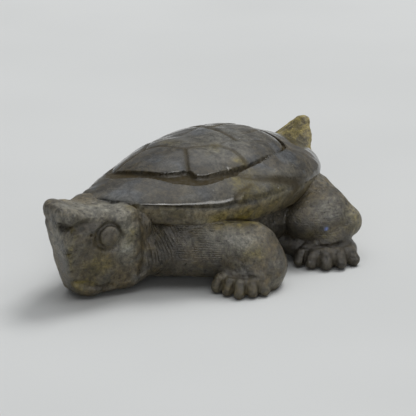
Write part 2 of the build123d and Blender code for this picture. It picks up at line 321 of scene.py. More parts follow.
# Seams of the margin on the left side: course, depth, half width, step down in front of it
margin_seams = ((lobe_seam_shares, 0.3, 0.28, 0.5), (notch_seam_shares, 0.12, 0.3, 0))
seam_grit_and_shade_reach = 0.5
margin_grit_and_shade = 0.8
pillow_share = 0.4
pillow_reach = 1.8
step_reach = 2.4
softening_passes = 2


def hump(away, reach):
    """1 on a line, fading out past the reach."""
    return np.exp(-((away / reach) ** 2))


# Carving over the plan: how far the crown is lowered, how far it is cut in, and where grit and painted
# shade darken the channel and the seams
plate_line = distance_to(course(plate_edge_shares, True), True)
channel_line = distance_to(course(channel_edge_shares, True), True)
toward_edge = np.clip((plate_line + plate_fall_reach) / plate_fall_reach, 0, 1)
plate_drop = plate_fall * toward_edge**plate_fall_power
margin_drop = skirt_drop - channel_lip * np.exp(-channel_line / channel_lip_reach)
lowered = np.where(plate_line < 0, plate_drop, np.where(channel_line < 0, channel_drop, margin_drop))
inside_plates = smooth_step(0.1, -0.3, plate_line)
# the channel is painted darker: its grit, and painted shade in the recess
grit_and_shade = smooth_step(0.1, -0.3, channel_line) * smooth_step(-0.2, 0.2, plate_line)
pillow = np.zeros(plan_x.shape)
cut_in = np.zeros(plan_x.shape)
for shares, depth, width, grit_and_shade_amount in plate_seams:
    away = np.abs(distance_to(course(shares)))
    pillow = np.maximum(pillow, pillow_share * depth * np.exp(-away / pillow_reach))
    cut_in = np.maximum(cut_in, inside_plates * depth * hump(away, width))
    # each seam is painted darker: grit and painted shade in the groove
    grit_and_shade = np.maximum(grit_and_shade, grit_and_shade_amount * inside_plates * hump(away, seam_grit_and_shade_reach))
lowered = lowered + pillow * inside_plates
for left_shares, depth, width, step in margin_seams:
    for shares, front_side in ((left_shares, 1), (flipped(left_shares), -1)):
        line = distance_to(course(shares))
        away = np.abs(line)
        cut_in = np.maximum(cut_in, depth * hump(away, width))
        # the margin seams are painted darker too: grit and painted shade
        grit_and_shade = np.maximum(grit_and_shade, margin_grit_and_shade * hump(away, seam_grit_and_shade_reach))
        in_front = np.where(line * front_side < 0, 1, 0)
        cut_in = np.maximum(cut_in, step * in_front * hump(away, step_reach))
lowered = soften(lowered, softening_passes).astype(np.float32)
cut_in = soften(cut_in, softening_passes).astype(np.float32)
grit_and_shade = soften(grit_and_shade, softening_passes).astype(np.float32)


def look_up(values, P):
    """Value of a plan map over each point."""
    fx = np.clip((P[:, 0] - map_x[0]) / map_step, 0, len(map_x) - 1.01)
    fy = np.clip((P[:, 1] - map_y[0]) / map_step, 0, len(map_y) - 1.01)
    ix = fx.astype(int)
    iy = fy.astype(int)
    tx = (fx - ix).astype(np.float32)
    ty = (fy - iy).astype(np.float32)
    near = values[ix, iy] * (1 - tx) + values[ix + 1, iy] * tx
    far = values[ix, iy + 1] * (1 - tx) + values[ix + 1, iy + 1] * tx
    return near * (1 - ty) + far * ty


def carapace(P):
    y = P[:, 1]
    width = shell_width_at(y)
    rise = shell_rise_at(y) * (1 - look_up(lowered, P) / crown_rise)
    above = P[:, 2] - shell_rim_at(y)
    x = P[:, 0] - shell_skew_at(y)
    # the front shoulder is slimmer on the far side
    width = width * np.where(x < 0, 1 - shell_far_at(y), 1)
    side = x / width
    top = np.maximum(above, 0) / rise
    k = side**2 + top**crown_power
    slope_side = 2 * side / width
    slope_top = crown_power * top ** (crown_power - 1) / rise
    crown = (k - 1) / np.sqrt(slope_side**2 + slope_top**2 + 1e-6)
    crown = crown + look_up(cut_in, P) * smooth_step(-1.2, 0.6, above)
    # the band under the rim leans in; the factors 0.9 and 0.8 even out the slope of the field
    depth = np.clip(-above, 0, 6)
    band = (np.abs(x) - (width - band_lean * depth)) * 0.9
    ends = np.maximum(shell_tip - y, y - shell_rear) + 0.5 * depth
    d = blend_max(crown, band, rim_round)
    d = np.maximum(d, ends)
    return blend_max(d, shell_floor_at(y) - P[:, 2], band_round) * 0.8


# Torso between the legs
torso_center = (0, 1, 12.5)
torso_radii = (17, 24.5, 12.5)
flank_center = (0, 7, 8.5)
flank_radii = (17.2, 18.8, 8.4)
belly_height = 1.8
torso_round = 1.5


def torso(P):
    d = ellipsoid(P, torso_center, torso_radii)
    d = blend_min(d, ellipsoid(P, flank_center, flank_radii), torso_round)
    return blend_max(d, belly_height - P[:, 2], torso_round)


# Head: stations counted forward
head_stations = (20.5, 24, 29, 35, 37, 38.2, 39.1, 39.9, 40.8, 41.7, 42.6, 43.2)
head_width_at = smooth_curve(head_stations, (7.4, 8.8, 8.6, 6.9, 6.2, 5.8, 5.5, 5.2, 4.9, 4.5, 4.2, 4))
head_top_at = smooth_curve(
    head_stations, (16.7, 17.4, 18.2, 19.4, 20, 20.3, 20.6, 20.8, 20.9, 21, 21, 21)
)
head_bottom_at = smooth_curve(
    head_stations, (4, 2.2, 1.1, 0.7, 0.8, 1.5, 3.4, 6.2, 9.6, 13, 17, 19)
)
head_back = 22.0
face_front = 42.6
head_round = 2.2
top_round = 3.4
snout_round = 1.8
face_skew = 0.23
chin_across = 0.87
chin_forward = 0.49
chin_reach = 21
chin_flare = 0.22
brow_center = (5.2, -28.4, 17)
brow_radii = (3, 3.4, 1.8)
dish_center = (3.9, -40.4, 25.6)
dish_radius = 4.75
eye_center = (7.3, -33.5, 13.8)
eye_turn = math.radians(17)
eye_radius = 2.2
eye_bulge = 1.0
eye_sink = 0.15
eye_ring_radius = 2.55
eye_ring_width = 0.42
furrow = (
    (4.2, -40.9, 17), (4.9, -39.7, 17), (5.6, -38.1, 17.2), (6.7, -36.5, 17.4), (7.4, -34.9, 17.4),
)
furrow_radii = (0.05, 0.25, 0.3, 0.3, 0.1)
nostril_pits = (((3.2, -42.4, 17), 1.15), ((4.6, -40.9, 15.9), 0.22), ((5.9, -37.4, 14.8), 0.05))
cheek_line = (
    (6.6, -25.4, 18.6), (8.3, -25, 16.1), (9, -24.8, 12.9), (9.1, -24.6, 10), (9.3, -25.2, 7.1),
    (9, -26.2, 4.3),
)
cheek_radii = (0.2, 0.55, 0.7, 0.7, 0.7, 0.4)
mouth = (
    (2.6, -40.6, 4.4), (3.4, -39.7, 4.2), (4.3, -37.9, 3.5), (5.4, -36.2, 3.1), (6.1, -34.1, 2.6),
    (6.5, -32.3, 2.4),
)
mouth_radii = (0.3, 0.6, 0.7, 0.65, 0.5, 0.2)
face_creases = (
    ((1.7, -41.9, 10.9), (4.7, -41.3, 11.3), 0.12), ((1, -41, 6.3), (4, -40.3, 7.2), 0.15),
)
# the furrow and the pits are cut less deep on the far side
furrow_far_rise = 0.45
pit_far_rise = 0.3


def head(P):
    # the front of the face is cut a little askew
    forward = -P[:, 1] - face_skew * P[:, 0] * smooth_step(-30, -40, P[:, 1])
    Q = mirrored(P)
    top = head_top_at(forward)
    bottom = head_bottom_at(forward)
    half = (top - bottom) / 2
    middle = (top + bottom) / 2
    top_edge = top_round + (snout_round - top_round) * smooth_step(36, 41, forward)
    edge = head_round + (top_edge - head_round) * smooth_step(-3, 3, Q[:, 2] - middle)
    edge = np.minimum(edge, half)
    qx = Q[:, 0] - head_width_at(forward) + edge
    qz = np.abs(Q[:, 2] - middle) - half + edge
    d = np.hypot(np.maximum(qx, 0), np.maximum(qz, 0)) + np.minimum(np.maximum(qx, qz), 0) - edge
    # the face narrows towards the chin
    chin = Q[:, 0] * chin_across + forward * chin_forward - (chin_reach + chin_flare * Q[:, 2])
    ends = np.maximum(head_back - forward, forward - face_front)
    d = blend_max(blend_max(d, ends, 1.4), chin, 1.5) * 0.75
    d = blend_min(d, ellipsoid(Q, brow_center, brow_radii), 1)
    far_side = smooth_step(0, -3, P[:, 0])
    d = carved(d, chain(Q, furrow, furrow_radii) + furrow_far_rise * far_side, 1.8)
    # shallow dish on top of the snout
    d = carved(d, length(Q - vec(*dish_center)) - dish_radius, 0.3)
    # eye: a ring cut round a low dome
    e = Q - vec(*eye_center)
    axis = vec(math.cos(eye_turn), -math.sin(eye_turn), 0)
    along = e @ axis
    around = length(e - along[:, None] * axis)
    ring = np.hypot(around - eye_ring_radius, along * 0.6) - eye_ring_width
    turned = np.stack([along, around, 0 * along], 1)
    dome = ellipsoid(turned, (-eye_sink, 0, 0), (eye_bulge, eye_radius, eye_radius))
    d = carved(d, ring, 1.1)
    d = blend_min(d, dome, 0.15)
    for center, radius in nostril_pits:
        d = carved(d, length(Q - vec(*center)) - radius + pit_far_rise * far_side, 0.9)
    d = carved(d, chain(Q, mouth, mouth_radii), 0.5)
    for start, end, radius in face_creases:
        d = carved(d, capsule(Q, start, end, radius, radius), 0.5)
    return d


neck_root = (0, -12, 10.3)
neck_end = (0, -28, 9.3)
neck_radii = (9.7, 8)


def neck(P):
    return capsule(P, neck_root, neck_end, *neck_radii)


# Feet and toes of the left side, mirrored for the right
front_foot = (21.9, -8)
front_toe_angles = (-14, 8, 30, 53, 76)
front_toe_reaches = (8.8, 8.3, 8.5, 7.8, 7.6)
rear_foot = (22.4, 16)
rear_toe_angles = (-6, 17, 42, 70, 100)
rear_toe_reaches = (9, 8.6, 8.4, 8.4, 8.3)
toe_start = 5.0
toe_height = 3.0
toe_knuckle_height = 2.8
toe_knuckle_back = 0.8
toe_tip_height = 1.3
toe_radius = 1.6
toe_tip_radius = 1.35
gap_top_reach = 6.8
gap_top_height = 4.2
gap_low_reach = 8.0
gap_low_height = -0.5
gap_radii = (0.1, 0.5)
toe_soft = 0.5
sole_round = 0.4


def round_foot(foot, angle, reach, height):
    turn = math.radians(angle)
    return (foot[0] + reach * math.sin(turn), foot[1] - reach * math.cos(turn), height)


def with_toes(d, Q, foot, angles, reaches):
    for i, angle in enumerate(angles):
        tip = reaches[i] - toe_tip_radius
        toe = (
            round_foot(foot, angle, toe_start, toe_height),
            round_foot(foot, angle, tip - toe_knuckle_back, toe_knuckle_height),
            round_foot(foot, angle, tip, toe_tip_height),
        )
        d = blend_min(d, chain(Q, toe, (toe_radius, toe_tip_radius, toe_tip_radius)), toe_soft)
        if i:
            between_toes = (angles[i - 1] + angle) / 2
            top = round_foot(foot, between_toes, gap_top_reach, gap_top_height)
            low = round_foot(foot, between_toes, gap_low_reach, gap_low_height)
            d = carved(d, capsule(Q, top, low, *gap_radii), 0.35)
    return d


# Front leg: upper arm, column over the foot, foot, ankle crease and the chest beside the neck
shoulder = (8, -15, 8.8)
elbow = (20.6, -6.6, 7.3)
arm_radii = (6.6, 5.8)
column_top = (21.3, -6, 6.5)
column_low = (22.3, -5.7, 4)
column_radii = (5.9, 6.4)
front_pad = (21.8, -7.9, 2.4)
front_pad_radii = (6.6, 6.6, 3.4)
ankle = ((20.4, -15, 4.3), (22.7, -14.1, 4.1), (25.4, -12.4, 4.3), (27.2, -10.4, 4.2))
ankle_radii = (0.2, 0.4, 0.4, 0.15)
chest_inner = (4.5, -22, 7)
chest_outer = (14.5, -12.5, 6.4)
chest_radii = (5.1, 4.7)


def front_leg(Q):
    arm = capsule(Q, shoulder, elbow, *arm_radii)
    column = capsule(Q, column_top, column_low, *column_radii)
    foot = ellipsoid(Q, front_pad, front_pad_radii)
    d = blend_min(blend_min(arm, column, 2), foot, 1.2)
    d = with_toes(d, Q, front_foot, front_toe_angles, front_toe_reaches)
    d = carved(d, chain(Q, ankle, ankle_radii), 0.5)
    d = blend_min(d, capsule(Q, chest_inner, chest_outer, *chest_radii), 1.2)
    return carved(d, Q[:, 2], sole_round)


# Rear leg: thigh and its two swells, shank, foot, fold, and the low web that ties it to the torso
hip = (14.3, 18.8, 11.6)
knee = (20.2, 19, 8.8)
thigh_radii = (5.8, 5.4)
thigh_swell = (18.8, 15.8, 8.6)
thigh_swell_radii = (6.6, 7.6, 4.8)
knee_swell = (22.7, 20.5, 7.7)
knee_swell_radii = (4.5, 4.4, 4)
shank_top = (20, 17, 8)
shank_low = (22, 16.6, 4)
shank_radii = (4.8, 5.2)
rear_pad = (22.2, 15.8, 2.2)
rear_pad_radii = (6.9, 7.4, 3.6)
web_inner = (14.6, 9.8, 3.2)
web_outer = (18.6, 11.2, 3.2)
web_radii = (2.1, 2.5)
fold = ((20.3, 8.4, 4.6), (23.8, 10.4, 4.5), (26.4, 13.2, 4.6), (27.8, 16.8, 4.7), (27.6, 20.2, 4.8))
fold_radii = (0.4, 0.5, 0.5, 0.5, 0.4)


def rear_leg(Q):
    thigh = capsule(Q, hip, knee, *thigh_radii)
    thigh = blend_min(thigh, ellipsoid(Q, thigh_swell, thigh_swell_radii), 2.5)
    thigh = blend_min(thigh, ellipsoid(Q, knee_swell, knee_swell_radii), 1)
    shank = capsule(Q, shank_top, shank_low, *shank_radii)
    foot = ellipsoid(Q, rear_pad, rear_pad_radii)
    web = capsule(Q, web_inner, web_outer, *web_radii)
    d = blend_min(blend_min(blend_min(thigh, shank, 1.2), foot, 0.6), web, 0.8)
    d = with_toes(d, Q, rear_foot, rear_toe_angles, rear_toe_reaches)
    d = carved(d, chain(Q, fold, fold_radii), 0.5)
    return carved(d, Q[:, 2], sole_round)


# Tail: a leaf leaning back over the rear rim
tail_overhang = 2.6
tail_tip = (0.2, shell_rear + tail_overhang, 24.2)
tail_lean = math.radians(58.7)
tail_length = 14
tail_skew = 0.17
tip_half_width = 1.25
tip_half_thick = 0.8
width_growth = 0.74
thick_growth = 0.24


def tail(P):
    down = vec(0, -math.cos(tail_lean), -math.sin(tail_lean))
    face = vec(0, math.sin(tail_lean), -math.cos(tail_lean))
    q = P - vec(*tail_tip)
    along = q @ down
    across = q @ face
    half_width = np.maximum(width_growth * along + tip_half_width, 0.1)
    half_thick = np.maximum(thick_growth * along + tip_half_thick, 0.1)
    side = q[:, 0] + tail_skew * along
    k = np.sqrt((side / half_width) ** 2 + (across / half_thick) ** 2) + 1e-6
    slope = np.sqrt((side / half_width**2) ** 2 + (across / half_thick**2) ** 2) + 1e-6
    d = k * (k - 1) / slope * 0.6
    return blend_max(np.maximum(d, along - tail_length), -along - 0.1, 1)


# Each piece's field, and the box round it outside which it isn't worked out
mirror_x = vec(-1, 1, 1)
box_margin = 2
part_fields = {
    "carapace": (carapace, (-21, -30.5, 11), (21, 31.5, 28)),
    "body": (torso, (-18, -24, 0), (18, 26, 25)),
    "head": (head, (-10, -44, 0), (10, -19, 23)),
    "neck": (neck, (-10, -38, 0), (10, -1, 21)),
    "front_leg_left": (front_leg, (0, -28, -1), (31, 3, 17)),
    "front_leg_right": (lambda P: front_leg(P * mirror_x), (-31, -28, -1), (0, 3, 17)),
    "rear_leg_left": (rear_leg, (6, 5, -1), (31, 27, 18)),
    "rear_leg_right": (lambda P: rear_leg(P * mirror_x), (-31, 5, -1), (-6, 27, 18)),
    "tail": (tail, (-13, 24, 11), (13, 35, 26)),
}
part_names = list(part_fields)
far_away = 6.0


def part_distances(P):
    result = np.full((len(part_names), len(P)), far_away, np.float32)
    for row, name in enumerate(part_names):
        field, low, high = part_fields[name]
        near = np.all((P > vec(*low) - box_margin) & (P < vec(*high) + box_margin), axis=1)
        if near.any():
            result[row, near] = field(P[near])
    return result


def joined(P, parts):
    """The whole stone as one field, from the distances to its parts."""
    shell, body, skull, throat, arm_left, arm_right, thigh_left, thigh_right, leaf = parts
    bumps = lumps(P, middle_waves)
    flesh = blend_min(skull, throat, 0.4)
    flesh = blend_min(flesh, body, 0.8)
    flesh = blend_min(flesh, np.minimum(arm_left, arm_right), 1.4)
    flesh = blend_min(flesh, np.minimum(thigh_left, thigh_right), 0.5)
    # a furrow parts the cheek from the neck
    flesh = carved(flesh, chain(mirrored(P), cheek_line, cheek_radii), 1.0)
    fine_bumps = lumps(P, small_waves)
    flesh = flesh + flesh_middle * bumps + flesh_broad * lumps(P, broad_waves) + flesh_small * fine_bumps
    # the soles stay flat on the ground
    flesh = np.maximum(flesh, -P[:, 2])
    shell = shell + shell_middle * bumps
    leaf = leaf + leaf_middle * bumps + leaf_small * fine_bumps
    rest = np.minimum(shell, flesh)
    return np.minimum(rest, blend_min(leaf, rest, 0.3))


def in_chunks(work, P):
    return np.concatenate([work(P[i:i + chunk_points]) for i in range(0, len(P), chunk_points)])


def stone(P):
    return in_chunks(lambda part: joined(part, part_distances(part)), P)


# Grid over the whole turtle; only the blocks near its stone are worked out
low_corner = vec(-31.2, -44.6, -0.9)
high_corner = vec(31.2, 35.4, 28.2)
block = grid_step * block_cells
blocks = np.ceil((high_corner - low_corner) / block).astype(int)
shape = blocks * block_cells + 1
centers = np.stack(np.meshgrid(*[np.arange(n) for n in blocks], indexing="ij"), -1).reshape(-1, 3)
middle = (low_corner + (centers + 0.5) * block).astype(np.float32)
coarse = in_chunks(lambda part: part_distances(part).min(0), middle)
block_reach = block * 0.9 + 0.8
active = centers[coarse < block_reach]
corner = np.stack(np.meshgrid(*[np.arange(block_cells + 1)] * 3, indexing="ij"), -1).reshape(-1, 3)
wanted = np.zeros(shape, bool)
for offset in corner:
    at = active * block_cells + offset
    wanted[tuple(at.T)] = True
spots = np.argwhere(wanted)
place = (low_corner + spots * grid_step).astype(np.float32)

solid = np.full(shape, 1.0, np.float32)
owner = np.zeros(shape, np.int8)
for start in range(0, len(spots), chunk_points):
    part = place[start:start + chunk_points]
    at = tuple(spots[start:start + chunk_points].T)
    distances = part_distances(part)
    solid[at] = joined(part, distances)
    owner[at] = distances.argmin(0) + 1
owner[solid >= 0] = 0
solid[0], solid[-1] = 1, 1

# One shared net of points: a point in each cell that two different owners meet in
cell_corners = np.array([(i, j, k) for i in (0, 1) for j in (0, 1) for k in (0, 1)])
lowest = np.full(np.array(shape) - 1, 127, np.int8)
highest = np.zeros(np.array(shape) - 1, np.int8)
for i, j, k in cell_corners:
    view = owner[i:shape[0] - 1 + i, j:shape[1] - 1 + j, k:shape[2] - 1 + k]
    lowest = np.minimum(lowest, view)
    highest = np.maximum(highest, view)
cells = np.argwhere(lowest != highest)
number = np.full(lowest.shape, -1, np.int32)
number[tuple(cells.T)] = np.arange(len(cells))

corner_at = tuple(np.moveaxis(cells[:, None, :] + cell_corners[None], -1, 0))
corner_value = solid[corner_at]
corner_owner = owner[corner_at]
outer = (corner_owner == 0).any(1)
total = np.zeros((len(cells), 3))
count = np.zeros(len(cells))
for a in range(8):
    for b in range(a + 1, 8):
        if np.abs(cell_corners[a] - cell_corners[b]).sum() != 1:
            continue
        crosses = (corner_owner[:, a] == 0) != (corner_owner[:, b] == 0)
        t = np.where(crosses, corner_value[:, a] / (corner_value[:, a] - corner_value[:, b] + 1e-12), 0.5)
        used = np.where(outer, crosses, corner_owner[:, a] != corner_owner[:, b])
        t = np.clip(t, 0, 1)
        spot = cell_corners[a] + t[:, None] * (cell_corners[b] - cell_corners[a])
        total += spot * used[:, None]
        count += used
points = low_corner + (cells + total / np.maximum(count, 1)[:, None]) * grid_step
points = points.astype(np.float32)

# Points of the outer surface are drawn onto the stone's own field
tetra = vec((1, -1, -1), (-1, -1, 1), (-1, 1, -1), (1, 1, 1))


def slope_of(P, reach):
    """The stone's field and its gradient, from four samples round each point."""
    gradient = np.zeros_like(P)
    value = np.zeros(len(P), np.float32)
    for direction in tetra:
        sample = stone(P + direction * reach)
        gradient += direction * sample[:, None]
        value += sample
    return value / 4, gradient / (4 * reach)


surface_probe = 0.06
normal_probe = 0.08
on_surface = points[outer]
for _ in range(2):
    value, gradient = slope_of(on_surface, surface_probe)
    size = np.maximum(length(gradient), 0.3)
    move = np.clip(value / size, -0.5 * grid_step, 0.5 * grid_step)
    on_surface = on_surface - gradient * (move / size)[:, None]
on_surface[:, 2] = np.maximum(on_surface[:, 2], 0)
points[outer] = on_surface
_, gradient = slope_of(on_surface, normal_probe)
normals = np.zeros_like(points)
normals[:, 2] = 1
normals[outer] = gradient / np.maximum(length(gradient), 1e-6)[:, None]

# How hollow the surface is at each point: over a hollow, stone lies nearer than the reach
hollow_reach = 0.6
hollows = np.zeros(len(points), np.float32)
seen = stone(on_surface + normals[outer] * hollow_reach)
hollows[outer] = np.clip(1 - seen / (hollow_reach * 0.9), 0, 1.5)


# Soft patches of colour: centre, radii, strength
olive_patches = (
    ((16.8, -3.7, 20.6), (3, 3.2, 2.4), 1.5), ((18.5, -3, 14), (4, 12, 1.6), 0.4),
    ((19, 2.5, 18), (3, 4, 2.5), 0.5), ((12.6, -0.2, 23.6), (2.2, 0.9, 1.5), 1),
    ((5.2, -2.2, 25.8), (2.4, 1.6, 1.5), 0.9), ((-3.5, -5.8, 25.4), (2.6, 1.4, 1.5), 0.7),
    ((16.8, -11.1, 14.4), (2.5, 3, 1.5), 0.4), ((18.4, -5.3, 13.9), (2.5, 4.5, 1.3), 0.6),
    ((11.6, -20.5, 15.7), (2.5, 2.5, 1.6), 0.9), ((6.2, -26.2, 18.6), (1.4, 1.3, 1.2), 1.1),
    ((8.5, -29.6, 13.3), (1.5, 1.6, 1.6), 0.9), ((6.2, -35.8, 8), (2.5, 3.2, 3), 0.7),
    ((4.6, -40.6, 15.6), (0.9, 0.9, 0.8), 1), ((4, -37.8, 3.5), (1.7, 3.6, 0.9), 1.2),
    ((4, -41.3, 10), (0.9, 0.9, 3.4), 0.9), ((25.1, -9.8, 9), (2.2, 1.8, 1.2), 1),
    ((20.3, 9.8, 7.2), (2.2, 2.2, 2.6), 1.1), ((25.6, 20.7, 8.5), (2.4, 2.6, 3), 0.7),
    ((25, 13.5, 6.6), (2, 3, 1.2), 0.6), ((22, -9.5, 1.6), (6.5, 6.5, 1.6), 0.4),
    ((13.5, 10.4, 9.5), (4, 6, 2.2), 0.8), ((9.8, -21.2, 10.1), (1.2, 1, 1.4), 0.6),
)
# Pale patches: the stone's pale grey, with painted highlight on the upper arm and the top of the knee
pale_and_highlight_patches = (
    ((4, -33, 19.5), (5.5, 8, 3), 0.9), ((2, -41.8, 15), (3.5, 2, 7), 0.7),
    ((8.4, -29.8, 12.8), (2, 2.2, 4), 1.4), ((5.6, -2.4, 26), (1.8, 1, 1), 0.8),
    ((22.5, -10.5, 11), (4, 4, 2.2), 0.9), ((17, -14, 11), (4, 3, 2.5), 0.7),
    ((23.8, 14.9, 11.4), (2.2, 3, 1.6), 0.8), ((27, 20, 9), (2.6, 3, 3), 0.5),
    ((4, 4, 26.5), (7, 9, 2.5), 0.8), ((14, -12, 19), (5, 6, 2.5), 0.4),
    ((18.5, 6, 18.5), (4, 9, 3), 0.6), ((9, -1.5, 25), (3, 4, 1.6), 0.5),
)
blue_patches = (
    ((-0.3, -24, 21), (3.5, 2.6, 2.2), 0.9), ((24.3, 13.1, 8.1), (1, 1.4, 0.5), 2.6),
    ((-6, -2, 26), (5, 6, 3), 0.6), ((2.5, -12, 24), (5, 4, 2), 0.6),
)
# Dark patches, mostly painted shade: on the flank between the legs, under the rim, the body and the head,
# round the feet, along the brow furrow and in the nostril and the eye
shade_and_dark_patches = (
    ((5.5, -38.2, 17.4), (2.6, 4.4, 0.9), 0.6), ((3.3, -41.8, 16.9), (1.5, 1.3, 1.2), 1.5),
    ((5.2, -38.9, 16.6), (1.2, 2.6, 1.1), 0.8), ((11.5, -21.5, 11), (3, 3, 7), 1.4),
    ((18.8, 5, 7.5), (4.5, 6.5, 7), 1.9), ((12, -17, 15), (4, 5, 1.6), 0.5),
    ((21, 9.5, 2.5), (4, 3, 3), 0.7), ((11, 6, 6), (5, 9, 4), 0.5),
    ((13, -19, 7), (6, 6, 6), 0.6), ((24, -13, 2), (8, 6, 3), 0.6),
    ((24.5, 13.5, 2), (9, 9, 3.8), 2.4), ((5.6, -38.2, 12), (2, 4, 5), 0.6),
    ((5.8, -35, 5), (2.5, 5, 2.6), 0.5), ((7.6, -33.4, 13.8), (1.4, 2.8, 2.8), 0.7),
)
patch_wobble = 0.5


def patch_weight(P, patches):
    total = np.zeros(len(P), np.float32)
    orders = ((1, 2, 0), (2, 0, 1), (0, 1, 2))
    wobbled = P + patch_wobble * np.stack([lumps(P[:, order], middle_waves) for order in orders], 1)
    for center, radii, strength in patches:
        reach = length((wobbled - vec(*center)) / vec(*radii))
        total += strength * np.exp(-(reach**2) * 0.9)
    return total


def between(x, low, high, soft):
    return smooth_step(low - soft, low + soft, x) * smooth_step(high + soft, high - soft, x)


def line_weights(P):
    """Where the tool lines show: on the neck, the upper arms, the front of the face, the thighs."""
    x = np.abs(P[:, 0])
    y = P[:, 1]
    z = P[:, 2]
    return {
        "neck_lines": between(y, -24.5, -14.5, 1.5) * between(x, -1, 13, 2) * between(z, 2, 14.5, 1),
        "arm_lines": between(x + y, -7, 6, 1.5) * between(z, 6, 14, 1.5) * smooth_step(7, 10, x),
        "face_lines": smooth_step(-41, -41.9, y) * between(z, 4, 19.5, 1),
        "thigh_lines": between(y, 9, 22, 1.5) * smooth_step(15, 17, x) * smooth_step(5, 7, z),
    }


weights = {
    "olive": patch_weight(points, olive_patches),
    "pale": patch_weight(points, pale_and_highlight_patches),
    "blue": patch_weight(points, blue_patches),
    "dark": patch_weight(points, shade_and_dark_patches),
    "hollow": hollows,
    # grit and painted shade of the channel and the seams, on the shell only
    "grit_and_shade": look_up(grit_and_shade, points) * smooth_step(15, 17, points[:, 2]),
    "band": smooth_step(0.5, -0.7, points[:, 2] - shell_rim_at(points[:, 1])),
    **line_weights(points),
}


# Pieces: each owner's side of the shared net
def faces_along(axis):
    """Faces of the net across the grid edges of one axis, with the owners on either side."""
    first = owner.take(range(shape[axis] - 1), axis)
    second = owner.take(range(1, shape[axis]), axis)
    edges = np.argwhere(first != second)
    others = [k for k in range(3) if k != axis]
    keep = np.all([(edges[:, k] > 0) & (edges[:, k] < shape[k] - 1) for k in others], axis=0)
    edges = edges[keep]
    u, v = others
    ring = []
    for du, dv in ((-1, -1), (0, -1), (0, 0), (-1, 0)):
        at = edges.copy()
        at[:, u] += du
        at[:, v] += dv
        ring.append(number[tuple(at.T)])
    quads = np.stack(ring, 1)
    if axis == 1:
        quads = quads[:, ::-1]
    edge_at = tuple(edges.T)
    return quads, first[edge_at], second[edge_at]


quads = []
sides = []
for axis in range(3):
    ring, low, high = faces_along(axis)
    quads += [ring[low > 0], ring[high > 0][:, ::-1]]
    sides += [low[low > 0], high[high > 0]]
quads = np.concatenate(quads)
sides = np.concatenate(sides)


def make_piece(row, name):
    own = quads[sides == row + 1]
    used, flat = np.unique(own.ravel(), return_inverse=True)
    place = points[used].astype(float)
    place[:, 1] += row_shift
    mesh = bpy.data.meshes.new("stone_" + name)
    mesh.from_pydata((place / 1000).tolist(), [], flat.reshape(-1, 4).tolist())
    mesh.shade_smooth()
    for key, values in weights.items():
        layer = mesh.attributes.new(key, "FLOAT", "POINT")
        layer.data.foreach_set("value", values[used].astype(np.float32))
    mesh.normals_split_custom_set_from_vertices(normals[used].tolist())
    piece = bpy.data.objects.new("stone_" + name, mesh)
    bpy.context.collection.objects.link(piece)
    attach(piece, "root")
    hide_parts(name)
    print(name, len(mesh.polygons), "faces")
    return piece


pieces = {name: make_piece(row, name) for row, name in enumerate(part_names)}


